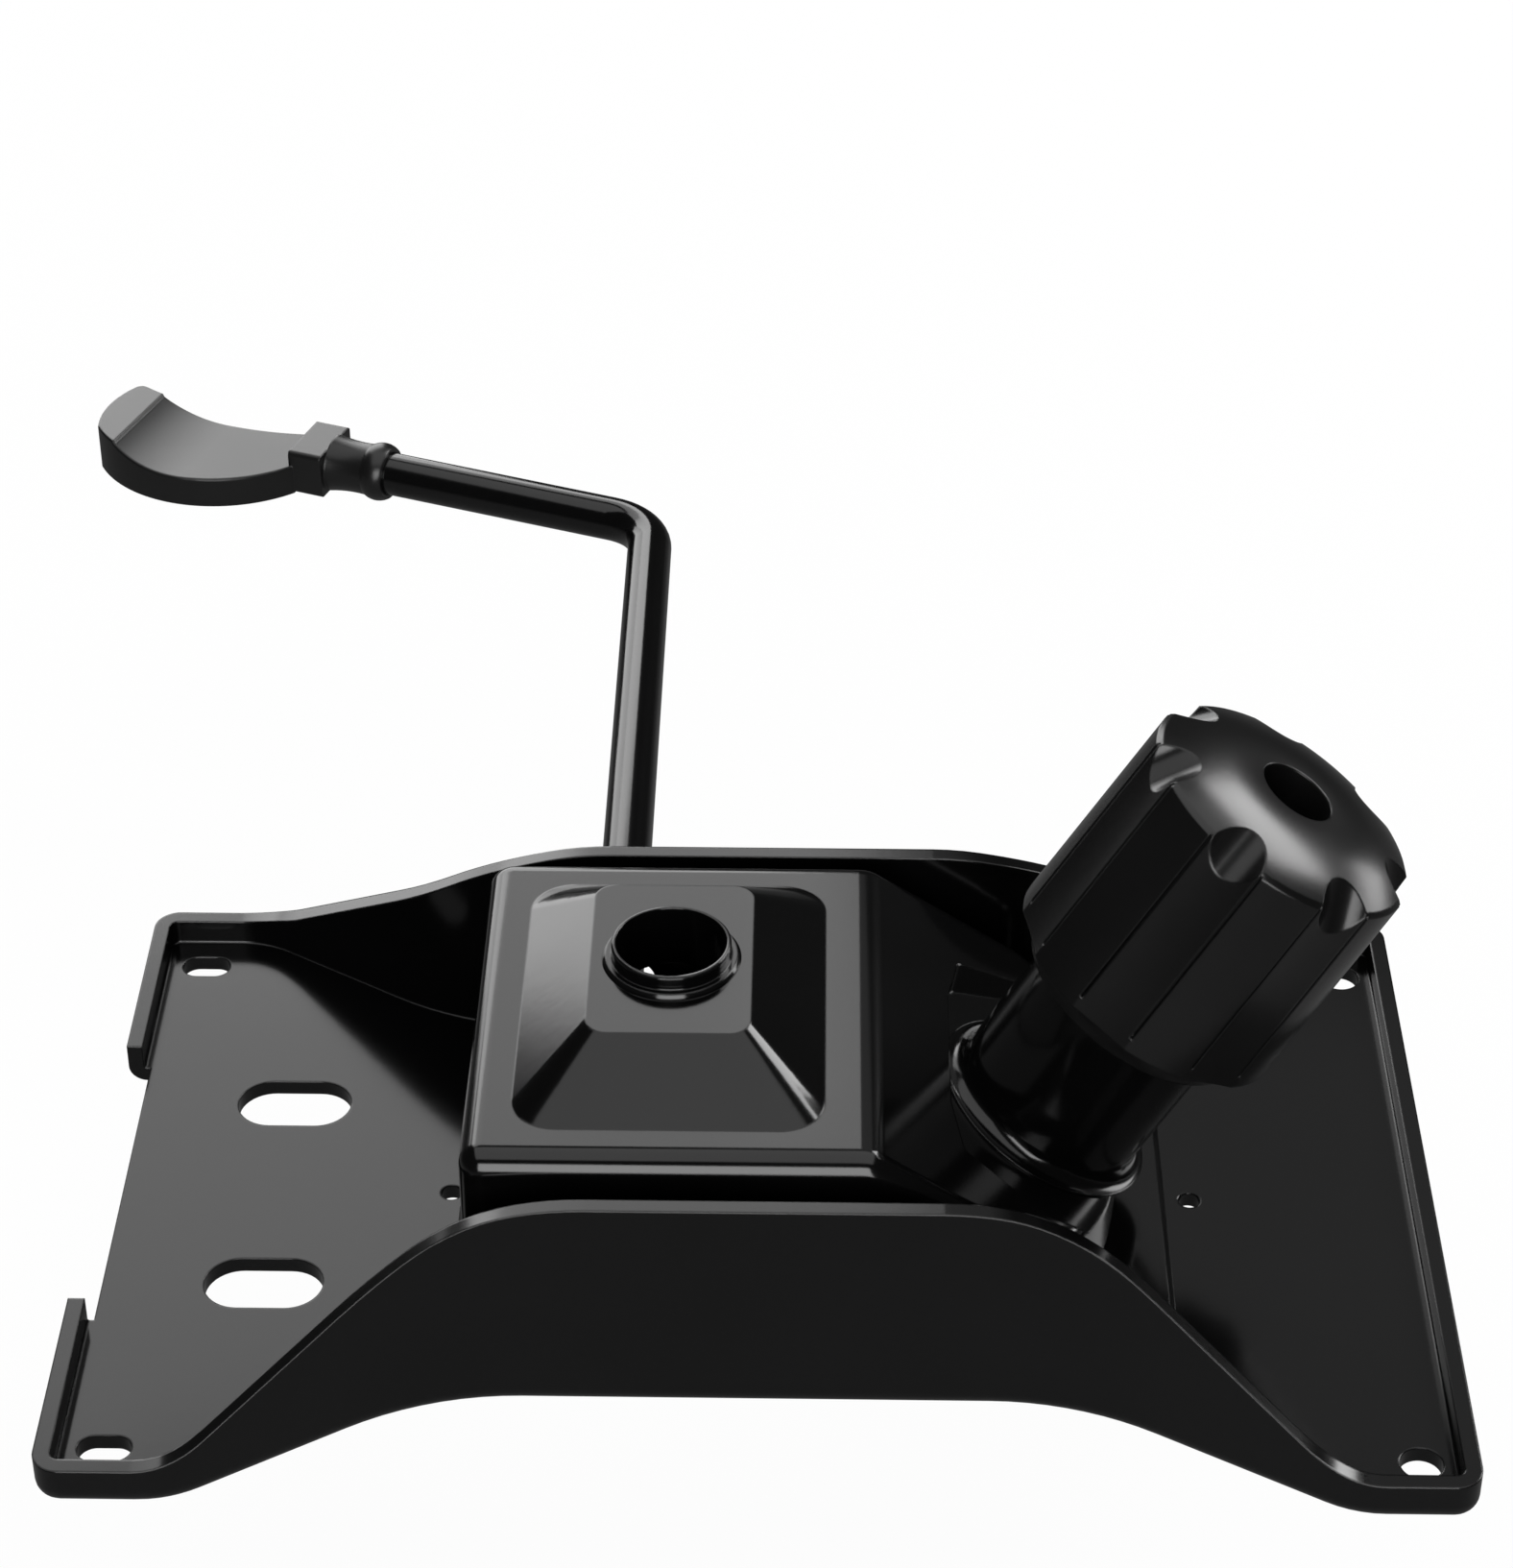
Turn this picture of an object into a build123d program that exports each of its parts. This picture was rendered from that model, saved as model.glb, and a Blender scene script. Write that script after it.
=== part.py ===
from build123d import *
import os
from math import acos, atan2, cos, radians, sin, tan

# Centre-tilt mechanism for an office chair, stored with its seat face down.
# Millimetres. The origin is the middle of the seat plate, on the face that meets the seat.
# +X points to the front of the chair, where the tension knob is, +Y to the lever side
# and +Z away from the seat, towards the gas lift.

os.makedirs("parts", exist_ok=True)

# Clearances that all pieces share
overrun = 60.0
slip = 0.05
seat_gap = 0.1
side_gap = 0.3

# Seat plate: a waisted tray pressed from one sheet, with tall flanges at its waist
plate_length = 283.0
plate_width = 181.4
sheet = 3.5
flange_height = 51.4
lip_height = 9.5
inner_bend = 0.4
plate_corner = 5.5
waist_width = 121.0
waist_rear_x = -66.0
waist_front_x = 64.0
shoulder_rear_x = -114.5
shoulder_front_x = 116.5
waist_round = 65.0
shoulder_round = 24.0
crest_rear_x = -53.4
crest_front_x = 57.0
foot_rear_x = -114.0
foot_front_x = 113.0
crest_round = 62.0
foot_round = 26.0

# Rear edge of the tray, where the end lip is left out
lip_gap = 82.0
edge_setback = 4.8

# Holes in the seat plate
bolt_spacing_x = 260.0
bolt_spacing_y = 156.0
bolt_centre_x = 1.0
rear_slot_length = 11.0
rear_slot_width = 7.1
front_hole = 8.6
wide_slot_x = -103.2
wide_slot_spacing = 58.4
wide_slot_length = 24.8
wide_slot_width = 15.1
pilot_hole = 4.7
pilot_rear_x = -66.4
pilot_front_x = 90.9

# Opening in the far flange for the lever
opening_rear_x = -41.9
opening_front_x = -24.7
opening_bottom = 5.6
opening_top = 22.9
opening_round = 6.0

# Doubler plate welded on the tray's floor
doubler = 2.0
doubler_rear_x = -24.0
doubler_front_x = 85.6
doubler_bevel = 1.2

# Housing: one deep pressing, a box with a raised boss and a sloping nose
housing_sheet = 2.5
housing_top = 55.4
flange_clearance = 6.7
housing_width = waist_width - 2 * (sheet + flange_clearance)
housing_rear_x = -59.4
housing_corner = 5.0
housing_round = 4.6
crease_x = 22.6
crease_round = 8.0
slope_angle = 34.0
nose_side_x = 57.0
nose_front_x = 74.5
nose_round = 12.0
skirt_bottom = 10.0
rear_wall_bottom = 30.5
lug_rear_x = -24.4

# Raised boss round the gas-lift socket
boss_rear_x = -49.6
boss_front_x = 12.9
boss_shelf = 9.6
boss_base_width = housing_width - 2 * boss_shelf
boss_base_round = 9.0
boss_top = 67.3
boss_top_length = 33.3
boss_top_width = 49.6
boss_top_round = 4.5

# Socket sleeve that takes the cone of the gas lift
socket_x = -18.6
socket_radius = 11.4
sleeve_top = 71.35
sleeve_bottom = 57.0
sleeve_radius = 13.6
rim_radius = 12.3
rim_shoulder = 68.3
sleeve_flange_radius = 14.3
rim_chamfer = 0.35

# Tilt pivot: a headed pin on each side, on one axis under the socket
pivot_x = -15.0
pivot_z = 18.0
pin_radius = 4.0
pin_head_radius = 7.5
pin_head = 2.6
pin_tail = 0.8
bush_radius = 5.5
bush_flange_radius = 7.8
bush_flange = 1.0
ear_sheet = 3.0
ear_radius = 8.5
ear_front_x = 16.0
ear_foot = 3.0
washer_thickness = 1.3
washer_radius = 8.4
clip_thickness = 1.2
clip_radius = 6.5

# Cross bracket under the socket: lower seat of the cone, with the lever's two ears
bracket_sheet = 3.0
bracket_bottom = 27.2
bracket_rear_x = -42.0
bracket_front_x = -3.0
bracket_relief = 7.8
bracket_width = housing_width - 2 * (housing_sheet + bracket_relief)
wing_rear_x = -23.4
collar_radius = 14.6
collar_top = 36.0
lever_ear_inset = 6.0
lever_ear_spacing = bracket_width - 2 * lever_ear_inset
lever_ear_radius = 8.2

# Lever: a bent rod that slides along Y and turns in two bushes
rod_radius = 5.75
rod_x = -33.3
rod_z = 16.0
rod_stickout = 4.5
rod_corner_y = 253.5
rod_turn = 69.6
rod_bend = 16.0
rod_chamfer = 1.0
rod_reach = 94.0
lever_bush_radius = 6.85
lever_bush_flange_radius = 7.9
lever_bush_flange = 1.0
lock_wall_gap = 0.1
lever_clip_radius = 7.9

# Valve arm on the rod, which presses the button of the gas lift
arm_hub_radius = 7.3
arm_hub_gap = 18.0
arm_hub_length = lever_ear_spacing - 2 * arm_hub_gap
arm_reach_x = -9.0
arm_width = 26.0
arm_thickness = 4.0
arm_round = 5.0

# Handle, along its own axis from the corner of the rod's two runs
collar_start = 76.0
collar_length = 6.0
collar_end_radius = 7.0
collar_bead_radius = 7.9
neck_radius = 6.9
neck_place = 85.5
neck_root_radius = 7.7
block_start = 92.5
block_length = 9.5
block_width = 18.4
block_height = 12.6
paddle_tip = 156.4
paddle_bulge = 3.0
paddle_thickness = 8.4
paddle_near_place = 130.0
paddle_near_reach = 26.0
paddle_near_end = 15.5
paddle_far_place = 128.0
paddle_far_reach = 4.4
paddle_far_end = 9.6
ramp_start = 127.0
ramp_end = 148.0
ramp_rise = 3.4
ridge_start = 149.6
ridge_end = 151.0
ridge_rise = 5.9
ridge_back = 155.4
ridge_back_rise = 5.5
ridge_edge_rise = 4.2
paddle_edge = 0.5
handle_round = 1.2

# Spring tube on the nose, and the axis that the bolt and the knob share
tube_angle = 30.0
axis_x = 74.3
axis_z = 55.4
tube_radius = 20.9
tube_wall = 2.5
tube_floor = 3.0
tube_top = 9.0
tube_foot = -31.0
foot_radius = 24.5
foot_flange = 0.4
floor_hole_radius = 6.6
nose_hole_radius = 12.0

# Sunk seat round the tube's foot, wider towards the front
seat_rear = 24.8
seat_rear_width = 35.0
seat_shoulder = 22.2
seat_shoulder_width = 50.0
seat_wide = 2.0
seat_wide_width = 68.0
seat_rise = 12.0
seat_spread = 20.0
seat_back_spread = 1.5
seat_corner = 3.0

# Tension bolt with a ball head, the spring and what the knob bears on
bolt_radius = 6.0
bolt_top = 48.0
bolt_chamfer = 1.0
ball_radius = 9.0
ball_place = -46.0
spring_wire = 5.0
spring_coil_radius = 14.6
spring_turns = 5
spring_seat_place = 28.0
spring_seat_radius = 17.6
spring_seat = 3.0
thrust_washer_radius = 13.0
thrust_washer = 2.0
nut_flats = 19.0
nut_height = 10.0

# Anchor that holds the ball head down to the seat plate
anchor_sheet = 3.0
anchor_inset = 30.3
anchor_width = housing_width - 2 * anchor_inset
anchor_top = -36.2
anchor_rear = 21.0
anchor_front = 13.0
anchor_slot_width = 13.0
anchor_slot_run = 7.6

# Knob: a fluted cup that covers the spring
knob_radius = 30.5
knob_bottom = 4.0
knob_rim_radius = 29.7
knob_rim = 58.2
knob_dome = 63.0
knob_hole_radius = 8.0
knob_cavity_radius = 22.5
knob_cavity_top = 33.4
knob_foot_round = 5.5
knob_land = 0.9
flutes = 7
flute_phase = -118.5
flute_radius = 50.0
flute_depth = 1.1
flute_foot = 4.6
flute_taper = 0.9
scoop_radius = 6.5
scoop_reach = 31.5
scoop_place = 59.4
scoop_tilt = 35.0
groove_angle = 12.2
groove_width = 0.5
groove_depth = 1.4
groove_foot = 12.5

# Lock plate that the rod's inner end meets when the lever is pushed in
lock_sheet = 3.0
lock_rear_x = -44.0
lock_front_x = -26.6
lock_top = 24.0
lock_foot = 3.0
lock_hole_radius = 6.3

# Rubber stops under the housing's rear wall and nose
rear_stop_rear_x = -62.0
rear_stop_front_x = -54.0
rear_stop_width = 12.0
rear_stop_inset = 20.3
rear_stop_top = 20.6
front_stop_x = 67.0
front_stop_inset = 24.3
front_stop_radius = 5.0

# Places worked out from the sizes above
half_length = plate_length / 2
half_waist = waist_width / 2
wall_outer_y = housing_width / 2
wall_inner_y = wall_outer_y - housing_sheet
ear_outer_y = wall_inner_y - washer_thickness - 2 * seat_gap
ear_inner_y = ear_outer_y - ear_sheet
doubler_top = sheet + doubler
bracket_top = bracket_bottom + bracket_sheet
lever_ear_inner_y = (lever_ear_spacing - bracket_sheet) / 2
rod_inner_y = -(lever_ear_spacing + bracket_sheet) / 2 - rod_stickout
lock_face_y = wall_outer_y + lock_wall_gap
lever_travel = lock_face_y - side_gap + rod_inner_y
lean = radians(tube_angle)
along = Vector(sin(lean), 0, cos(lean))
across = Vector(cos(lean), 0, -sin(lean))
axis_origin = Vector(axis_x, 0, axis_z)
tube_axis = Axis(axis_origin, along)
tube_section = Plane(origin=axis_origin, x_dir=across, z_dir=(0, -1, 0))
socket_axis = Axis((socket_x, 0, 0), (0, 0, 1))
socket_section = Plane(origin=(socket_x, 0, 0), x_dir=(1, 0, 0), z_dir=(0, -1, 0))
sides = (1, -1)


def tube_plane(place):
    """Plane square to the tube's axis, at a place along that axis."""
    return Plane(origin=axis_origin + along * place, x_dir=across, z_dir=along)


def side_plane(x, y, z):
    """Plane that faces +Y, with its own X along +X and its own Y along -Z."""
    return Plane(origin=(x, y, z), x_dir=(1, 0, 0), z_dir=(0, 1, 0))


def finish(piece, name):
    """Label a finished piece and write its STEP file."""
    piece.part.label = name
    export_step(piece.part, f"parts/{name}.step")


def tray_outline(inset):
    """Waisted outline of the tray, drawn in from its outer faces by inset."""
    half_width = plate_width / 2
    near = [
        (-half_length, half_width),
        (shoulder_rear_x, half_width),
        (waist_rear_x, half_waist),
        (waist_front_x, half_waist),
        (shoulder_front_x, half_width),
        (half_length, half_width),
    ]
    far = [(x, -y) for x, y in reversed(near)]
    with BuildSketch() as outline:
        with BuildLine():
            Polyline(*near, *far, close=True)
        make_face()
        waist = outline.vertices().filter_by(lambda v: abs(v.Y) < half_waist + sheet)
        fillet(waist, waist_round)
        corners = outline.vertices().filter_by(lambda v: abs(v.X) > half_length - sheet)
        fillet(corners, plate_corner)
        shoulders = outline.vertices().filter_by(
            lambda v: abs(v.Y) > half_width - sheet and abs(v.X) < half_length - 2 * plate_corner
        )
        fillet(shoulders, shoulder_round)
        if inset:
            offset(amount=-inset)
    return outline.sketch


tray_outer = tray_outline(0)
tray_inner = tray_outline(sheet)
tray_floor = tray_outline(sheet + inner_bend + seat_gap)

# Seat plate
with BuildPart() as seat_plate:
    with BuildSketch():
        add(tray_outer)
    extrude(amount=flange_height)
    fillet(seat_plate.faces().sort_by(Axis.Z)[0].edges(), sheet + inner_bend)
    with BuildSketch(Plane.XY.offset(sheet)):
        add(tray_inner)
    extrude(amount=flange_height, mode=Mode.SUBTRACT)
    floor_face = seat_plate.faces().filter_by(Plane.XY).sort_by(Axis.Z)[1]
    fillet(floor_face.edges(), inner_bend)
    with BuildSketch(Plane.XZ) as flange_profile:
        with BuildLine():
            Polyline(
                (-half_length, 0),
                (-half_length, lip_height),
                (foot_rear_x, lip_height),
                (crest_rear_x, flange_height),
                (crest_front_x, flange_height),
                (foot_front_x, lip_height),
                (half_length, lip_height),
                (half_length, 0),
                close=True,
            )
        make_face()
        crests = flange_profile.vertices().filter_by(lambda v: v.Y > flange_height - sheet)
        fillet(crests, crest_round)
        feet = flange_profile.vertices().filter_by(
            lambda v: abs(v.Y - lip_height) < sheet and abs(v.X) < half_length - sheet
        )
        fillet(feet, foot_round)
    extrude(amount=plate_width, both=True, mode=Mode.INTERSECT)
    with BuildSketch():
        with Locations((-half_length, 0)):
            Rectangle(2 * edge_setback, lip_gap)
    extrude(amount=flange_height, mode=Mode.SUBTRACT)
    with BuildSketch():
        with Locations((bolt_centre_x - bolt_spacing_x / 2, 0)):
            with GridLocations(0, bolt_spacing_y, 1, 2):
                SlotOverall(rear_slot_length, rear_slot_width)
        with Locations((bolt_centre_x + bolt_spacing_x / 2, 0)):
            with GridLocations(0, bolt_spacing_y, 1, 2):
                Circle(front_hole / 2)
        with Locations((wide_slot_x, 0)):
            with GridLocations(0, wide_slot_spacing, 1, 2):
                SlotOverall(wide_slot_length, wide_slot_width)
        with Locations((pilot_rear_x, 0), (pilot_front_x, 0)):
            Circle(pilot_hole / 2)
    extrude(amount=sheet, mode=Mode.SUBTRACT)
    opening_x = (opening_front_x + opening_rear_x) / 2
    opening_z = (opening_top + opening_bottom) / 2
    with BuildSketch(side_plane(opening_x, half_waist, opening_z)):
        RectangleRounded(
            opening_front_x - opening_rear_x, opening_top - opening_bottom, opening_round
        )
    extrude(amount=sheet + inner_bend, both=True, mode=Mode.SUBTRACT)
finish(seat_plate, "seat_plate")

# Doubler plate, with its front edge bevelled
with BuildPart() as doubler_plate:
    with BuildSketch(Plane.XY.offset(sheet)):
        add(tray_floor)
    extrude(amount=doubler)
    with BuildSketch(Plane.XY):
        with Locations((doubler_rear_x, 0)):
            Rectangle(doubler_front_x - doubler_rear_x, plate_width, align=(Align.MIN, Align.CENTER))
    extrude(amount=doubler_top, mode=Mode.INTERSECT)
    front_edges = doubler_plate.faces().sort_by(Axis.X)[-1].edges()
    chamfer(front_edges.sort_by(Axis.Z)[-1], doubler_bevel)
finish(doubler_plate, "doubler_plate")

# Pivot ears, welded on the doubler inside each side wall of the housing
ear_run = ear_front_x - pivot_x
ear_base = pivot_z - doubler_top
ear_corner = Vector(ear_run, ear_base - ear_foot)
ear_turn = atan2(ear_corner.Y, ear_corner.X) - acos(ear_radius / ear_corner.length)
with BuildPart() as pivot_ears:
    for side in sides:
        with BuildSketch(side_plane(pivot_x, side * (ear_inner_y + ear_sheet / 2), pivot_z)):
            with BuildLine():
                Polyline(
                    (-ear_radius, ear_base),
                    (-ear_radius, 0),
                    (ear_radius * cos(ear_turn), ear_radius * sin(ear_turn)),
                    (ear_run, ear_base - ear_foot),
                    (ear_run, ear_base),
                    close=True,
                )
            make_face()
            Circle(ear_radius)
            Circle(pin_radius + slip, mode=Mode.SUBTRACT)
        extrude(amount=ear_sheet / 2, both=True)
finish(pivot_ears, "pivot_ears")

# Pivot pins, each with its head outside the housing and its tail through the ear
head_y = wall_outer_y + bush_flange + seat_gap
tail_y = ear_inner_y - seat_gap - clip_thickness - pin_tail
with BuildPart() as pivot_pins:
    for side in sides:
        with BuildSketch(side_plane(pivot_x, side * tail_y, pivot_z)):
            Circle(pin_radius)
        extrude(amount=side * (head_y - tail_y))
        with BuildSketch(side_plane(pivot_x, side * head_y, pivot_z)):
            Circle(pin_head_radius)
        extrude(amount=side * pin_head)
finish(pivot_pins, "pivot_pins")

# Clips on the tails of the pins
with BuildPart() as pivot_clips:
    for side in sides:
        with BuildSketch(side_plane(pivot_x, side * (ear_inner_y - seat_gap), pivot_z)):
            Circle(clip_radius)
            Circle(pin_radius + slip, mode=Mode.SUBTRACT)
        extrude(amount=-side * clip_thickness)
finish(pivot_clips, "pivot_clips")

# Washers between the ears and the side walls
with BuildPart() as pivot_washers:
    for side in sides:
        with BuildSketch(side_plane(pivot_x, side * (ear_outer_y + seat_gap), pivot_z)):
            Circle(washer_radius)
            Circle(pin_radius + slip, mode=Mode.SUBTRACT)
        extrude(amount=side * washer_thickness)
finish(pivot_washers, "pivot_washers")

# Flanged bushes in the side walls
with BuildPart() as pivot_bushes:
    for side in sides:
        with BuildSketch(side_plane(pivot_x, side * wall_inner_y, pivot_z)):
            Circle(bush_radius)
            Circle(pin_radius + slip, mode=Mode.SUBTRACT)
        extrude(amount=side * housing_sheet)
        with BuildSketch(side_plane(pivot_x, side * wall_outer_y, pivot_z)):
            Circle(bush_flange_radius)
            Circle(pin_radius + slip, mode=Mode.SUBTRACT)
        extrude(amount=side * bush_flange)
finish(pivot_bushes, "pivot_bushes")


def housing_plan(inset):
    """Plan of the housing, a box with a bowed nose, drawn in by inset."""
    with BuildSketch() as plan:
        with BuildLine():
            Polyline(
                (nose_side_x, wall_outer_y),
                (housing_rear_x, wall_outer_y),
                (housing_rear_x, -wall_outer_y),
                (nose_side_x, -wall_outer_y),
            )
            ThreePointArc(
                (nose_side_x, -wall_outer_y), (nose_front_x, 0), (nose_side_x, wall_outer_y)
            )
        make_face()
        rear_corners = plan.vertices().sort_by(Axis.X)[:2]
        fillet(rear_corners, housing_corner)
        nose_corners = plan.vertices().sort_by(Axis.X)[-2:]
        fillet(nose_corners, nose_round)
        if inset:
            offset(amount=-inset)
    return plan.sketch


def housing_side(inset, wall_bottom, lug_bottom):
    """Side view of the housing, its roof lowered by inset all along."""
    slope = radians(slope_angle)
    crease = crease_x - inset * tan(slope / 2)
    roof = housing_top - inset
    end_x = nose_front_x + overrun
    with BuildSketch(Plane.XZ) as view:
        with BuildLine():
            Polyline(
                (housing_rear_x - overrun, wall_bottom),
                (housing_rear_x - overrun, roof),
                (crease, roof),
                (end_x, roof - (end_x - crease) * tan(slope)),
                (end_x, lug_bottom - overrun),
                (nose_front_x, lug_bottom - overrun),
                (nose_front_x, lug_bottom),
                (lug_rear_x, lug_bottom),
                (lug_rear_x, wall_bottom),
                close=True,
            )
        make_face()
        bend = view.vertices().filter_by(lambda v: v.Y > roof - seat_gap and v.X > lug_rear_x)
        fillet(bend, crease_round - inset)
    return view.sketch


def boss_block(drop):
    """The raised boss, or the room under it where drop is the sheet."""
    rise = boss_top - housing_top
    base_length = boss_front_x - boss_rear_x
    run_x = (base_length - boss_top_length) / 2
    run_y = (boss_base_width - boss_top_width) / 2
    inset_x = 2 * drop * tan(atan2(rise, run_x) / 2)
    inset_y = 2 * drop * tan(atan2(rise, run_y) / 2)
    with BuildPart() as boss:
        with BuildSketch(Plane.XY.offset(housing_top - drop)):
            with Locations(((boss_front_x + boss_rear_x) / 2, 0)):
                RectangleRounded(base_length - inset_x, boss_base_width - inset_y, boss_base_round)
        with BuildSketch(Plane.XY.offset(boss_top - drop)):
            with Locations((socket_x, 0)):
                RectangleRounded(boss_top_length - inset_x, boss_top_width - inset_y, boss_top_round)
        loft()
    return boss.part


def sunk_seat(drop):
    """Space over the sunk seat's floor, lowered and widened by drop."""
    with BuildPart() as space:
        for rise_share in (0, 1):
            side_spread = drop + seat_spread * rise_share
            back_spread = drop + seat_back_spread * rise_share
            with BuildSketch(tube_plane(tube_foot - drop + seat_rise * rise_share)) as outline:
                with BuildLine():
                    Polyline(
                        (overrun, -seat_wide_width / 2 - side_spread),
                        (-seat_wide, -seat_wide_width / 2 - side_spread),
                        (-seat_shoulder, -seat_shoulder_width / 2 - side_spread),
                        (-seat_rear - back_spread, -seat_rear_width / 2 - back_spread),
                        (-seat_rear - back_spread, seat_rear_width / 2 + back_spread),
                        (-seat_shoulder, seat_shoulder_width / 2 + side_spread),
                        (-seat_wide, seat_wide_width / 2 + side_spread),
                        (overrun, seat_wide_width / 2 + side_spread),
                        close=True,
                    )
                make_face()
                fillet(outline.vertices().sort_by(Axis.X)[:6], seat_corner)
        loft(ruled=True)
    return space.part


def housing_solid(inset, wall_bottom, lug_bottom):
    """The housing filled in, or the room inside it where inset is the sheet."""
    plan = housing_plan(inset)
    view = housing_side(inset, wall_bottom, lug_bottom)
    boss = boss_block(inset)
    seat_space = sunk_seat(inset)
    with BuildPart() as solid:
        with BuildSketch(Plane.XY.offset(-overrun)):
            add(plan)
        extrude(amount=2 * overrun)
        with BuildSketch(Plane.XZ):
            add(view)
        extrude(amount=housing_width, both=True, mode=Mode.INTERSECT)
        slope = tan(radians(slope_angle))

        def on_rim(edge):
            middle = edge.center()
            roof = housing_top - inset - max(middle.X - crease_x, 0) * slope
            inner = abs(middle.Y) < housing_round and 0 < middle.X < nose_side_x
            return middle.Z > roof - 2 * housing_sheet and not inner

        fillet(solid.edges().filter_by(on_rim), housing_round - inset)
        add(boss)
        add(seat_space, mode=Mode.SUBTRACT)
    return solid.part


outer_housing = housing_solid(0, rear_wall_bottom, skirt_bottom)
inner_housing = housing_solid(housing_sheet, rear_wall_bottom - overrun, skirt_bottom - overrun)

# Housing shell
with BuildPart() as housing_shell:
    add(outer_housing)
    add(inner_housing, mode=Mode.SUBTRACT)
    with BuildSketch(Plane.XY.offset(housing_top)):
        with Locations((socket_x, 0)):
            Circle(sleeve_radius + seat_gap)
    extrude(amount=housing_top, both=True, mode=Mode.SUBTRACT)
    with BuildSketch(tube_plane(tube_foot)):
        Circle(nose_hole_radius)
    extrude(amount=tube_radius, both=True, mode=Mode.SUBTRACT)
    with BuildSketch(side_plane(pivot_x, 0, pivot_z)):
        Circle(bush_radius + slip)
    extrude(amount=housing_width, both=True, mode=Mode.SUBTRACT)
finish(housing_shell, "housing_shell")

# Taper sleeve with a stepped rim
with BuildPart() as taper_sleeve:
    with BuildSketch(socket_section):
        with BuildLine():
            Polyline(
                (socket_radius, sleeve_bottom),
                (sleeve_radius, sleeve_bottom),
                (sleeve_radius, boss_top),
                (sleeve_flange_radius, boss_top),
                (sleeve_radius, rim_shoulder),
                (rim_radius, rim_shoulder),
                (rim_radius, sleeve_top - rim_chamfer),
                (rim_radius - rim_chamfer, sleeve_top),
                (socket_radius, sleeve_top),
                close=True,
            )
        make_face()
    revolve(axis=socket_axis)
finish(taper_sleeve, "taper_sleeve")

# Cross bracket, welded between the side walls
with BuildPart() as cross_bracket:
    with BuildSketch(Plane.XY.offset(bracket_bottom)):
        with Locations((bracket_rear_x, 0)):
            Rectangle(bracket_front_x - bracket_rear_x, bracket_width, align=(Align.MIN, Align.CENTER))
        with Locations((wing_rear_x, 0)):
            Rectangle(bracket_front_x - wing_rear_x, 2 * wall_inner_y, align=(Align.MIN, Align.CENTER))
        with Locations((socket_x, 0)):
            Circle(socket_radius, mode=Mode.SUBTRACT)
    extrude(amount=bracket_sheet)
    with BuildSketch(Plane.XY.offset(bracket_top)):
        with Locations((socket_x, 0)):
            Circle(collar_radius)
            Circle(socket_radius, mode=Mode.SUBTRACT)
    extrude(amount=collar_top - bracket_top)
    for side in sides:
        with BuildSketch(side_plane(rod_x, side * lever_ear_spacing / 2, rod_z)):
            Circle(lever_ear_radius)
            with Locations((0, (rod_z - bracket_bottom) / 2)):
                Rectangle(2 * lever_ear_radius, bracket_bottom - rod_z)
            Circle(lever_bush_radius + slip, mode=Mode.SUBTRACT)
        extrude(amount=bracket_sheet / 2, both=True)
finish(cross_bracket, "cross_bracket")

# Lever bushes in the bracket's ears, their flanges on the inside
with BuildPart() as lever_bushes:
    for side in sides:
        with BuildSketch(side_plane(rod_x, side * lever_ear_inner_y, rod_z)):
            Circle(lever_bush_radius)
            Circle(rod_radius + slip, mode=Mode.SUBTRACT)
        extrude(amount=side * bracket_sheet)
        with BuildSketch(side_plane(rod_x, side * lever_ear_inner_y, rod_z)):
            Circle(lever_bush_flange_radius)
            Circle(rod_radius + slip, mode=Mode.SUBTRACT)
        extrude(amount=-side * lever_bush_flange)
finish(lever_bushes, "lever_bushes")

# Lever clips: the far one stops the rod when it is pulled out, the near one when pushed in
clip_stop_y = lever_ear_inner_y - lever_bush_flange - seat_gap
with BuildPart() as lever_clips:
    with BuildSketch(side_plane(rod_x, clip_stop_y, rod_z)):
        Circle(lever_clip_radius)
        Circle(rod_radius + slip, mode=Mode.SUBTRACT)
    extrude(amount=-clip_thickness)
    with BuildSketch(side_plane(rod_x, lever_travel - clip_stop_y, rod_z)):
        Circle(lever_clip_radius)
        Circle(rod_radius + slip, mode=Mode.SUBTRACT)
    extrude(amount=clip_thickness)
finish(lever_clips, "lever_clips")

# Lever rod
turn = radians(rod_turn)
run_direction = Vector(-sin(turn), cos(turn), 0)
rod_corner = Vector(rod_x, rod_corner_y, rod_z)
rod_end = rod_corner + run_direction * rod_reach
with BuildPart() as lever_rod:
    with BuildLine() as rod_path:
        FilletPolyline((rod_x, rod_inner_y, rod_z), rod_corner, rod_end, radius=rod_bend)
    with BuildSketch(side_plane(rod_x, rod_inner_y, rod_z)):
        Circle(rod_radius)
    sweep(path=rod_path.wires()[0])
    chamfer(lever_rod.faces().sort_by(Axis.Y)[0].edges(), rod_chamfer)
finish(lever_rod, "lever_rod")

# Valve arm
with BuildPart() as valve_arm:
    with BuildSketch(side_plane(rod_x, 0, rod_z)):
        Circle(arm_hub_radius)
    extrude(amount=arm_hub_length / 2, both=True)
    with BuildSketch(Plane.XY.offset(rod_z - arm_thickness / 2)) as arm_plan:
        with Locations((rod_x, 0)):
            Rectangle(arm_reach_x - rod_x, arm_width, align=(Align.MIN, Align.CENTER))
        fillet(arm_plan.vertices().sort_by(Axis.X)[-2:], arm_round)
    extrude(amount=arm_thickness)
    with BuildSketch(side_plane(rod_x, 0, rod_z)):
        Circle(rod_radius + slip)
    extrude(amount=arm_hub_length, both=True, mode=Mode.SUBTRACT)
finish(valve_arm, "valve_arm")


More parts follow.
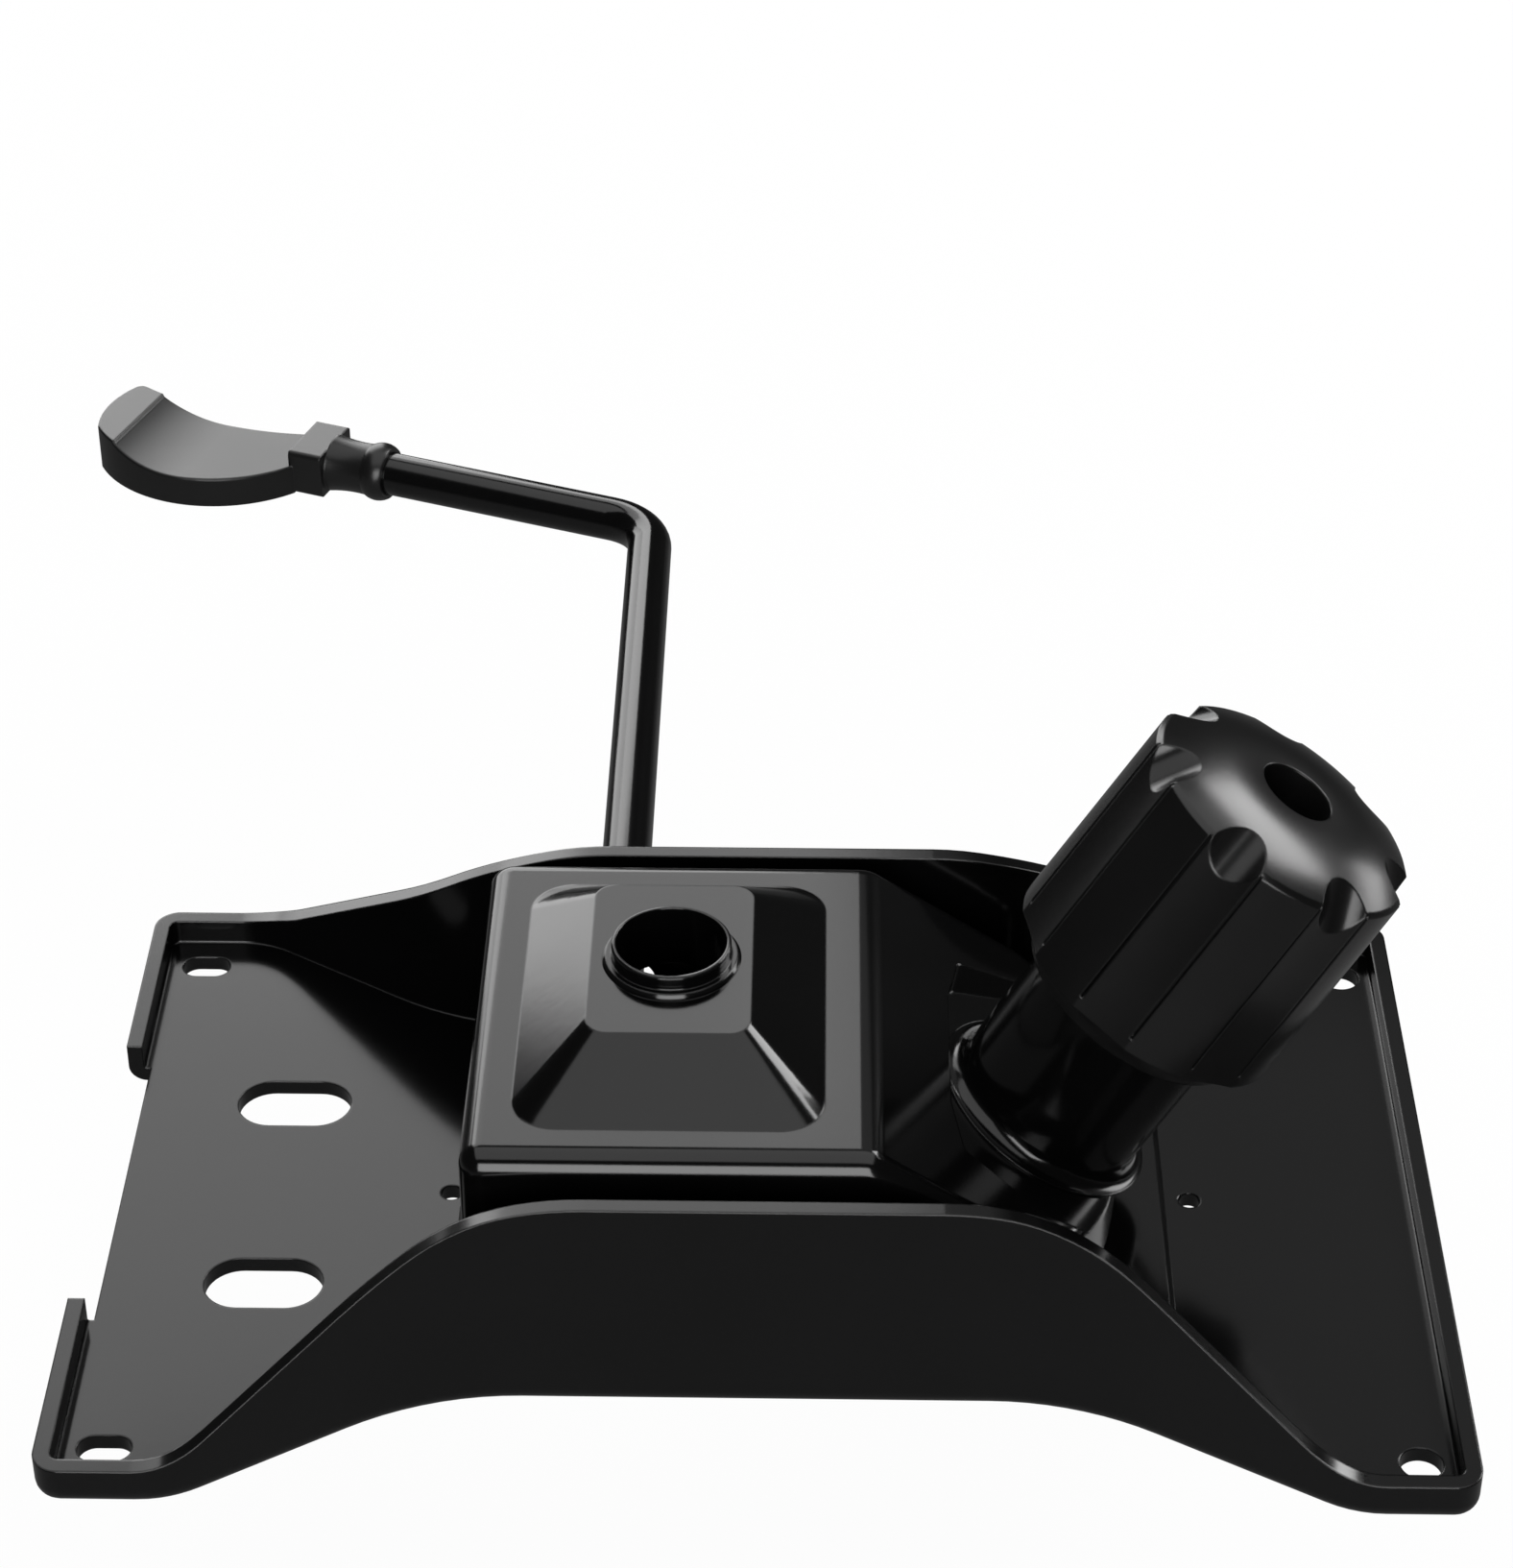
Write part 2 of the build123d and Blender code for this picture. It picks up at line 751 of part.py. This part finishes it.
def handle_plane(place):
    """Plane square to the handle's axis, at a place along it."""
    return Plane(origin=rod_corner + run_direction * place, x_dir=(0, 0, 1), z_dir=run_direction)


handle_low = rod_corner - Vector(0, 0, block_height / 2)
handle_bed = Plane(origin=handle_low, x_dir=run_direction, z_dir=(0, 0, 1))
handle_side = Plane(origin=handle_low, x_dir=run_direction, z_dir=-handle_bed.y_dir)
handle_section = Plane(origin=rod_corner, x_dir=run_direction, z_dir=handle_side.z_dir)
paddle_root = block_start + block_length - handle_round

# Lever handle: collar, neck, block and a dished paddle with a ridge across its tip
with BuildPart() as lever_handle:
    with BuildSketch(handle_bed) as paddle_plan:
        with BuildLine():
            Line((paddle_root, -block_width / 2), (paddle_root, block_width / 2))
            ThreePointArc(
                (paddle_root, block_width / 2),
                (paddle_near_place, paddle_near_reach),
                (paddle_tip, paddle_near_end),
            )
            ThreePointArc(
                (paddle_tip, paddle_near_end),
                (paddle_tip + paddle_bulge, (paddle_near_end - paddle_far_end) / 2),
                (paddle_tip, -paddle_far_end),
            )
            ThreePointArc(
                (paddle_tip, -paddle_far_end),
                (paddle_far_place, -paddle_far_reach),
                (paddle_root, -block_width / 2),
            )
        make_face()
        fillet(paddle_plan.vertices().sort_by(Axis.X)[-2:], 2 * handle_round)
    extrude(amount=block_height)
    with BuildSketch(handle_side):
        with BuildLine():
            Line((paddle_root, 0), (paddle_root, paddle_thickness))
            Line((paddle_root, paddle_thickness), (ramp_start, paddle_thickness))
            ramp = TangentArc(
                (ramp_start, paddle_thickness),
                (ramp_end, paddle_thickness + ramp_rise),
                tangent=(1, 0),
            )
            Line(ramp @ 1, (ridge_start, paddle_thickness + ridge_rise))
            crest = Line(
                (ridge_start, paddle_thickness + ridge_rise),
                (ridge_end, paddle_thickness + ridge_rise),
            )
            back = ThreePointArc(
                crest @ 1,
                (ridge_back, paddle_thickness + ridge_back_rise),
                (paddle_tip + paddle_bulge, paddle_thickness + ridge_edge_rise),
            )
            Line(back @ 1, (paddle_tip + paddle_bulge, 0))
            Line((paddle_tip + paddle_bulge, 0), (paddle_root, 0))
        make_face()
    extrude(amount=overrun, both=True, mode=Mode.INTERSECT)
    paddle_top = handle_low.Z + paddle_thickness - seat_gap
    top_edges = lever_handle.edges().filter_by(lambda e: e.center().Z > paddle_top)
    fillet(top_edges.filter_by(lambda e: e.center().X < rod_end.X + block_width), paddle_edge)
    with BuildSketch(handle_plane(block_start)):
        RectangleRounded(block_height, block_width, handle_round)
    extrude(amount=block_length)
    with BuildSketch(handle_section):
        with BuildLine():
            Line((collar_start, 0), (collar_start, collar_end_radius))
            ThreePointArc(
                (collar_start, collar_end_radius),
                (collar_start + collar_length / 2, collar_bead_radius),
                (collar_start + collar_length, collar_end_radius),
            )
            ThreePointArc(
                (collar_start + collar_length, collar_end_radius),
                (neck_place, neck_radius),
                (block_start, neck_root_radius),
            )
            Line((block_start, neck_root_radius), (block_start, 0))
            Line((block_start, 0), (collar_start, 0))
        make_face()
    revolve(axis=Axis(rod_corner, run_direction))
    with BuildSketch(handle_plane(collar_start)):
        Circle(rod_radius + slip)
    extrude(amount=rod_reach + seat_gap - collar_start, mode=Mode.SUBTRACT)
finish(lever_handle, "lever_handle")

# Spring tube: a cup with a flared foot, welded on the nose
foot_top = tube_foot + foot_flange
flare = foot_radius - tube_radius
cup_radius = tube_radius - tube_wall
with BuildPart() as spring_tube:
    with BuildSketch(tube_section):
        with BuildLine():
            Polyline(
                (foot_radius, foot_top),
                (foot_radius, tube_foot),
                (floor_hole_radius, tube_foot),
                (floor_hole_radius, tube_foot + tube_floor),
                (cup_radius, tube_foot + tube_floor),
                (cup_radius, tube_top),
                (tube_radius, tube_top),
                (tube_radius, foot_top + flare),
            )
            RadiusArc((tube_radius, foot_top + flare), (foot_radius, foot_top), -flare)
        make_face()
    revolve(axis=tube_axis)
finish(spring_tube, "spring_tube")

# Tension bolt with its ball head
with BuildPart() as tension_bolt:
    with BuildSketch(tube_plane(ball_place)):
        Circle(bolt_radius)
    extrude(amount=bolt_top - ball_place)
    chamfer(tension_bolt.faces().sort_by(tube_axis)[-1].edges(), bolt_chamfer)
    with Locations(tube_plane(ball_place)):
        Sphere(ball_radius)
finish(tension_bolt, "tension_bolt")

# Tension spring
spring_low = tube_foot + tube_floor + spring_wire / 2 + seat_gap
spring_run = spring_seat_place - spring_wire / 2 - seat_gap - spring_low
with BuildPart() as tension_spring:
    with BuildLine() as coil:
        Helix(
            spring_run / spring_turns,
            spring_run,
            spring_coil_radius,
            center=axis_origin + along * spring_low,
            direction=along,
        )
    with BuildSketch(Plane(origin=coil.line @ 0, z_dir=coil.line % 0)):
        Circle(spring_wire / 2)
    sweep(path=coil.wires()[0], is_frenet=True)
finish(tension_spring, "tension_spring")

# Spring seat washer
with BuildPart() as spring_seat_washer:
    with BuildSketch(tube_plane(spring_seat_place)):
        Circle(spring_seat_radius)
        Circle(bolt_radius + slip, mode=Mode.SUBTRACT)
    extrude(amount=spring_seat)
finish(spring_seat_washer, "spring_seat_washer")

# Thrust washer between the spring seat and the knob's nut
washer_place = spring_seat_place + spring_seat
with BuildPart() as thrust_ring:
    with BuildSketch(tube_plane(washer_place)):
        Circle(thrust_washer_radius)
        Circle(bolt_radius + slip, mode=Mode.SUBTRACT)
    extrude(amount=thrust_washer)
finish(thrust_ring, "thrust_washer")

# Nut held in the knob
nut_place = washer_place + thrust_washer
nut_corner_radius = nut_flats / 2 / cos(radians(30))
with BuildPart() as knob_nut:
    with BuildSketch(tube_plane(nut_place)):
        RegularPolygon(nut_corner_radius, 6)
        Circle(bolt_radius + slip, mode=Mode.SUBTRACT)
    extrude(amount=nut_height)
finish(knob_nut, "knob_nut")

# Knob
with BuildPart() as knob:
    with BuildSketch(tube_section):
        with BuildLine():
            Polyline(
                (knob_radius - knob_foot_round, knob_bottom),
                (knob_cavity_radius, knob_bottom),
                (knob_cavity_radius, knob_cavity_top),
                (knob_hole_radius, knob_cavity_top),
                (knob_hole_radius, knob_dome),
            )
            dome_drop = (knob_dome - knob_rim) / 6
            dome_middle = (knob_hole_radius + knob_rim_radius - knob_land) / 2
            ThreePointArc(
                (knob_hole_radius, knob_dome),
                (dome_middle, knob_dome - dome_drop),
                (knob_rim_radius - knob_land, knob_rim + knob_land / 2),
            )
            Line(
                (knob_rim_radius - knob_land, knob_rim + knob_land / 2),
                (knob_rim_radius, knob_rim - knob_land / 2),
            )
            Line((knob_rim_radius, knob_rim - knob_land / 2), (knob_radius, knob_bottom + knob_foot_round))
            RadiusArc(
                (knob_radius, knob_bottom + knob_foot_round),
                (knob_radius - knob_foot_round, knob_bottom),
                -knob_foot_round,
            )
        make_face()
    revolve(axis=tube_axis)
    flute_centre = knob_radius - flute_depth + flute_radius
    with BuildSketch(tube_plane(flute_foot)):
        with PolarLocations(flute_centre, flutes, start_angle=flute_phase):
            Circle(flute_radius)
    extrude(amount=overrun, taper=-flute_taper, mode=Mode.SUBTRACT)
    with BuildSketch(tube_plane(groove_foot)):
        for border in (-groove_angle, groove_angle):
            with PolarLocations(knob_radius, flutes, start_angle=flute_phase + border):
                Rectangle(2 * groove_depth, groove_width)
    extrude(amount=overrun, mode=Mode.SUBTRACT)
    with Locations(tube_plane(scoop_place)):
        with PolarLocations(scoop_reach, flutes, start_angle=flute_phase):
            Cylinder(scoop_radius, 2 * knob_radius, rotation=(0, -scoop_tilt, 0), mode=Mode.SUBTRACT)
    with BuildSketch(tube_plane(knob_cavity_top)):
        RegularPolygon(nut_corner_radius + seat_gap, 6)
    extrude(amount=nut_place + nut_height + seat_gap - knob_cavity_top, mode=Mode.SUBTRACT)
finish(knob, "knob")

# Tension anchor: two cheeks on the doubler under a sloped top with a long slot
rear_top = axis_origin + along * anchor_top - across * anchor_rear
front_top = axis_origin + along * anchor_top + across * anchor_front
with BuildPart() as tension_anchor:
    with BuildSketch(Plane.XZ):
        with BuildLine():
            Polyline(
                (rear_top.X, doubler_top),
                (rear_top.X, rear_top.Z),
                (front_top.X, front_top.Z),
                (front_top.X, doubler_top),
                close=True,
            )
        make_face()
    extrude(amount=anchor_width / 2, both=True)
    with BuildSketch(tube_plane(anchor_top - anchor_sheet)):
        Rectangle(2 * overrun, anchor_width - 2 * anchor_sheet)
    extrude(amount=-overrun, mode=Mode.SUBTRACT)
    with BuildSketch(tube_plane(anchor_top)):
        with Locations((-anchor_slot_run / 2, 0)):
            SlotCenterToCenter(anchor_slot_run, anchor_slot_width)
    extrude(amount=anchor_sheet, both=True, mode=Mode.SUBTRACT)
finish(tension_anchor, "tension_anchor")

# Lock plate on the tray's floor, an angle beside the near flange
lock_foot_y = half_waist - sheet - inner_bend - seat_gap
with BuildPart() as lock_plate:
    with BuildSketch(side_plane(lock_rear_x, -lock_face_y, sheet)):
        Rectangle(lock_front_x - lock_rear_x, lock_top - sheet, align=(Align.MIN, Align.MAX))
        with Locations((rod_x - lock_rear_x, sheet - rod_z)):
            Circle(lock_hole_radius, mode=Mode.SUBTRACT)
    extrude(amount=-lock_sheet)
    with BuildSketch(Plane.XY.offset(sheet)):
        with Locations((lock_rear_x, -lock_foot_y)):
            Rectangle(
                lock_front_x - lock_rear_x, lock_foot_y - lock_face_y, align=(Align.MIN, Align.MIN)
            )
    extrude(amount=lock_foot)
finish(lock_plate, "lock_plate")

# Rubber stops for the housing's rear wall at full tilt
with BuildPart() as tilt_stops:
    with BuildSketch(Plane.XY.offset(sheet)):
        with Locations((rear_stop_rear_x, 0)):
            with GridLocations(0, housing_width - 2 * rear_stop_inset, 1, 2):
                Rectangle(
                    rear_stop_front_x - rear_stop_rear_x,
                    rear_stop_width,
                    align=(Align.MIN, Align.CENTER),
                )
    extrude(amount=rear_stop_top - sheet)
finish(tilt_stops, "tilt_stops")

# Rubber bumpers under the nose at rest
with BuildPart() as rest_bumpers:
    with BuildSketch(Plane.XY.offset(doubler_top)):
        with Locations((front_stop_x, 0)):
            with GridLocations(0, housing_width - 2 * front_stop_inset, 1, 2):
                Circle(front_stop_radius)
    extrude(amount=skirt_bottom - side_gap - doubler_top)
finish(rest_bumpers, "rest_bumpers")
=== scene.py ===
import bpy
import math
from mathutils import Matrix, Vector


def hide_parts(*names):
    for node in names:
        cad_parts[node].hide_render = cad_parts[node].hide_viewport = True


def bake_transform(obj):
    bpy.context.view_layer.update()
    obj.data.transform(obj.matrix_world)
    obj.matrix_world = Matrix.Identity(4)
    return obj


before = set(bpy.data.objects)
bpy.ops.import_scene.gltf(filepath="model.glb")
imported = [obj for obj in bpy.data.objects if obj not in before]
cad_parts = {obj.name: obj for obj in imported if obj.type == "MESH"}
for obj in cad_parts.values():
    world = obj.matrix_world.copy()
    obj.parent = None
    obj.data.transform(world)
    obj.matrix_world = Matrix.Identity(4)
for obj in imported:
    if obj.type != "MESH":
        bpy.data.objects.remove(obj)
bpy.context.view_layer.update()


# Shader helpers

def node_mat(name):
    """A fresh material with its Principled shader, node list and link list."""
    mat = bpy.data.materials.new(name)
    mat.use_nodes = True
    nodes = mat.node_tree.nodes
    return mat, nodes["Principled BSDF"], nodes, mat.node_tree.links


def object_place(nodes):
    """Coordinates in metres that ride with the object."""
    return nodes.new("ShaderNodeTexCoord").outputs["Object"]


def noise(nodes, links, vector, scale, detail=3.0):
    """A noise texture on that vector."""
    texture = nodes.new("ShaderNodeTexNoise")
    texture.inputs["Scale"].default_value = scale
    texture.inputs["Detail"].default_value = detail
    links.new(vector, texture.inputs["Vector"])
    return texture.outputs["Fac"]


def spread(nodes, links, value, low, high, start=0.3, stop=0.7):
    """A value stretched from start..stop to low..high."""
    span = nodes.new("ShaderNodeMapRange")
    span.inputs["From Min"].default_value = start
    span.inputs["From Max"].default_value = stop
    span.inputs["To Min"].default_value = low
    span.inputs["To Max"].default_value = high
    links.new(value, span.inputs["Value"])
    return span.outputs["Result"]


def larger(nodes, links, first, second):
    """The larger of two values."""
    chosen = nodes.new("ShaderNodeMath")
    chosen.operation = "MAXIMUM"
    links.new(first, chosen.inputs[0])
    links.new(second, chosen.inputs[1])
    return chosen.outputs[0]


# Finishes of the object. Sizes are in metres, and noise scales in cells for each metre.

colour_scale = 24.0
colour_stops = (0.35, 0.65)
rough_scale = 9.0
rough_detail = 4.0
grain_detail = 2.0
edge_samples = 6


def surface(name, colours, rough, grain, bump, edge, specular=0.5, metallic=0.0):
    """A finish with soft colour and roughness variation, a fine grain and rounded edges.

    bump is the grain's strength and depth, and edge is the radius of the edges.
    """
    mat, shader, nodes, links = node_mat(name)
    vector = object_place(nodes)
    shader.inputs["Metallic"].default_value = metallic
    shader.inputs["Specular IOR Level"].default_value = specular
    ramp = nodes.new("ShaderNodeValToRGB")
    for element, position, colour in zip(ramp.color_ramp.elements, colour_stops, colours):
        element.position = position
        element.color = (*colour, 1)
    links.new(noise(nodes, links, vector, colour_scale), ramp.inputs["Fac"])
    links.new(ramp.outputs["Color"], shader.inputs["Base Color"])
    links.new(
        spread(nodes, links, noise(nodes, links, vector, rough_scale, rough_detail), *rough),
        shader.inputs["Roughness"],
    )
    round_edge = nodes.new("ShaderNodeBevel")
    round_edge.samples = edge_samples
    round_edge.inputs["Radius"].default_value = edge
    relief = nodes.new("ShaderNodeBump")
    relief.inputs["Strength"].default_value = bump[0]
    relief.inputs["Distance"].default_value = bump[1]
    links.new(noise(nodes, links, vector, grain, grain_detail), relief.inputs["Height"])
    links.new(round_edge.outputs["Normal"], relief.inputs["Normal"])
    links.new(relief.outputs["Normal"], shader.inputs["Normal"])
    return mat


paint = surface(
    "gloss_black_paint", ((0.0014, 0.0014, 0.0014), (0.002, 0.002, 0.0021)),
    rough=(0.11, 0.15), grain=260.0, bump=(0.03, 0.0002), edge=0.0006,
)
knob_plastic = surface(
    "satin_black_plastic", ((0.003, 0.003, 0.003), (0.005, 0.005, 0.005)),
    rough=(0.20, 0.25), grain=1400.0, bump=(0.06, 0.0001), edge=0.0007,
)
handle_plastic = surface(
    "moulded_black_plastic", ((0.004, 0.004, 0.004), (0.006, 0.006, 0.006)),
    rough=(0.24, 0.31), grain=1100.0, bump=(0.06, 0.0001), edge=0.0008,
)
zinc = surface(
    "zinc_plate", ((0.42, 0.42, 0.43), (0.56, 0.56, 0.58)),
    rough=(0.28, 0.45), grain=500.0, bump=(0.1, 0.0001), edge=0.0003, metallic=1.0,
)
nylon = surface(
    "natural_nylon", ((0.60, 0.59, 0.55), (0.68, 0.67, 0.63)),
    rough=(0.45, 0.55), grain=900.0, bump=(0.08, 0.0001), edge=0.0003, specular=0.4,
)
rubber = surface(
    "black_rubber", ((0.012, 0.012, 0.012), (0.022, 0.022, 0.022)),
    rough=(0.65, 0.8), grain=700.0, bump=(0.2, 0.0002), edge=0.0006, specular=0.3,
)

finishes = {
    paint: [
        "seat_plate", "doubler_plate", "housing_shell", "taper_sleeve", "cross_bracket",
        "spring_tube", "lever_rod", "pivot_ears", "tension_anchor", "lock_plate",
    ],
    zinc: [
        "pivot_pins", "pivot_clips", "pivot_washers", "tension_bolt", "tension_spring",
        "spring_seat_washer", "thrust_washer", "knob_nut", "lever_clips",
    ],
    knob_plastic: ["knob"],
    handle_plastic: ["lever_handle", "valve_arm"],
    nylon: ["pivot_bushes", "lever_bushes"],
    rubber: ["tilt_stops", "rest_bumpers"],
}
for mat, names in finishes.items():
    for name in names:
        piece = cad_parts[name]
        piece.data.materials.clear()
        piece.data.materials.append(mat)

# Tension spring in two runs, lower and upper, in place of the model's spring

tube_origin = Vector((0.0743, 0, 0.0554))
tube_lean = math.radians(30)
tube_along = Vector((math.sin(tube_lean), 0, math.cos(tube_lean)))
tube_across = Vector((math.cos(tube_lean), 0, -math.sin(tube_lean)))
tube_side = Vector((0, 1, 0))
# The spring's foot, measured along the tube from its origin, then turns and the climb of each
coil_low = -0.0254
coil_turns = 5
coil_split = 2.75
coil_pitch = 0.01016
coil_radius = 0.0146
wire_radius = 0.0025
wire_corners = 14
rings_per_turn = 28


def on_axis(turn):
    """Point on the tube's axis at the height of that turn of the spring."""
    return tube_origin + tube_along * (coil_low + coil_pitch * turn)


def wire_ring(turn):
    """The corners of the wire's round section at that turn."""
    angle = 2 * math.pi * turn
    outward = tube_across * math.cos(angle) + tube_side * math.sin(angle)
    forward = tube_side * math.cos(angle) - tube_across * math.sin(angle)
    tangent = (forward * coil_radius + tube_along * coil_pitch / (2 * math.pi)).normalized()
    upward = tangent.cross(outward)
    centre = on_axis(turn) + outward * coil_radius
    abouts = [2 * math.pi * corner / wire_corners for corner in range(wire_corners)]
    return [
        centre + (outward * math.cos(about) + upward * math.sin(about)) * wire_radius
        for about in abouts
    ]


def coil(name, first, last):
    """A run of the spring from one turn to another."""
    steps = round((last - first) * rings_per_turn)
    points, faces = [], []
    for step in range(steps + 1):
        points.extend(wire_ring(first + (last - first) * step / steps))
    for low in range(0, steps * wire_corners, wire_corners):
        high = low + wire_corners
        for corner in range(wire_corners):
            after = (corner + 1) % wire_corners
            faces.append((low + corner, low + after, high + after, high + corner))
    faces.append(tuple(reversed(range(wire_corners))))
    faces.append(tuple(range(steps * wire_corners, (steps + 1) * wire_corners)))
    mesh = bpy.data.meshes.new(name)
    mesh.from_pydata(points, [], faces)
    mesh.polygons.foreach_set("use_smooth", [len(face) == 4 for face in faces])
    mesh.materials.append(zinc)
    spring = bpy.data.objects.new(name, mesh)
    bpy.context.scene.collection.objects.link(spring)
    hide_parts("tension_spring")
    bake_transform(spring)


coil("tension_spring_lower", 0, coil_split)
coil("tension_spring_upper", coil_split, coil_turns)

# Camera, fitted to the photograph's straight edges and corners

camera_data = bpy.data.cameras.new("camera")
camera = bpy.data.objects.new("camera", camera_data)
bpy.context.scene.collection.objects.link(camera)
camera.location = (0.0096, -0.6438, 0.5607)
camera.rotation_euler = [math.radians(angle) for angle in (55.05, 0.02, 0.95)]
camera_data.sensor_fit = "VERTICAL"
camera_data.sensor_height = 36.0
camera_data.lens = 91.13
camera_data.clip_start = 0.01
camera_data.clip_end = 50.0
bpy.context.scene.camera = camera

# Floor and world: white to the camera, and dim in the paint's reflections as in the studio

floor_size = 8.0
# Under the handle's lowest reach, which is at full tilt with the lever turned
floor_level = -0.075
floor_grey = 0.8
floor_rough = 0.9
# The glow in reflections falls from the first value to the second between these distances
floor_glow = (0.15, 0.035)
glow_fade = (0.3, 0.7)
# The glow's share of the floor's look; the rest shows shadows
floor_cover = 0.96
world_glow = 0.035


def clear_rays(path, nodes, links):
    """1 for rays from the camera, also through clear things, and 0 for the rest."""
    return larger(nodes, links, path.outputs["Is Camera Ray"], path.outputs["Is Transmission Ray"])


def backdrop_mat():
    """A floor that glows for the camera and for reflections, and is plain grey for the rest."""
    mat, shader, nodes, links = node_mat("studio_floor")
    shader.inputs["Base Color"].default_value = (floor_grey, floor_grey, floor_grey, 1)
    shader.inputs["Roughness"].default_value = floor_rough
    shader.inputs["Specular IOR Level"].default_value = 0.0
    path = nodes.new("ShaderNodeLightPath")
    clear = clear_rays(path, nodes, links)
    reach = nodes.new("ShaderNodeVectorMath")
    reach.operation = "LENGTH"
    links.new(object_place(nodes), reach.inputs[0])
    dim = spread(nodes, links, reach.outputs["Value"], *floor_glow, *glow_fade)
    glow = nodes.new("ShaderNodeEmission")
    links.new(larger(nodes, links, dim, clear), glow.inputs["Strength"])
    seen = larger(nodes, links, clear, path.outputs["Is Glossy Ray"])
    mix = nodes.new("ShaderNodeMixShader")
    links.new(spread(nodes, links, seen, 0.0, floor_cover, 0.0, 1.0), mix.inputs["Fac"])
    links.new(shader.outputs["BSDF"], mix.inputs[1])
    links.new(glow.outputs["Emission"], mix.inputs[2])
    links.new(mix.outputs["Shader"], nodes["Material Output"].inputs["Surface"])
    return mat


bpy.ops.mesh.primitive_plane_add(size=floor_size, location=(0, 0, floor_level))
floor = bpy.context.object
floor.name = "studio_floor_plane"
floor.data.materials.append(backdrop_mat())

world = bpy.data.worlds.new("studio")
bpy.context.scene.world = world
world.use_nodes = True
world_nodes = world.node_tree.nodes
world_links = world.node_tree.links
sky = world_nodes["Background"]
sky.inputs["Color"].default_value = (1, 1, 1, 1)
sky_clear = clear_rays(world_nodes.new("ShaderNodeLightPath"), world_nodes, world_links)
world_links.new(
    spread(world_nodes, world_links, sky_clear, world_glow, 1.0, 0.0, 1.0),
    sky.inputs["Strength"],
)

# Lamps, placed where the photograph's highlights come from

lamp_target = Vector((0, 0, 0.03))
lamp_distance = 2.0


def softbox(name, azimuth, elevation, spans, radiance):
    """A rectangular lamp by where it is seen from the object, in degrees.

    azimuth goes from +Y to +X, and spans are the angles that its width and height fill.
    """
    turn, rise = math.radians(azimuth), math.radians(elevation)
    level = math.cos(rise)
    away = Vector((math.sin(turn) * level, math.cos(turn) * level, math.sin(rise)))
    data = bpy.data.lights.new(name, "AREA")
    data.shape = "RECTANGLE"
    data.size, data.size_y = (
        2 * lamp_distance * math.tan(math.radians(span / 2)) for span in spans
    )
    data.energy = math.pi * data.size * data.size_y * radiance
    lamp = bpy.data.objects.new(name, data)
    bpy.context.scene.collection.objects.link(lamp)
    lamp.location = lamp_target + away * lamp_distance
    lamp.rotation_mode = "QUATERNION"
    lamp.rotation_quaternion = (-away).to_track_quat("-Z", "Y")


softbox("overhead_softbox", 0, 89.9, (66, 66), 1.1)
softbox("back_left_softbox", -22, 9, (35, 22), 2.9)
softbox("back_left_upper_softbox", -18, 27, (33, 13), 4.1)
softbox("back_left_top_softbox", -19, 40, (34, 12), 2.1)
softbox("back_fill_softbox", 13, 44, (22, 20), 0.28)
softbox("back_right_softbox", 52, 36, (28, 20), 8.5)
softbox("right_strip", 61, 8, (21, 11), 4.8)
softbox("front_softbox", 180, 17, (40, 38), 5.4)

bpy.context.scene.view_settings.view_transform = "Standard"
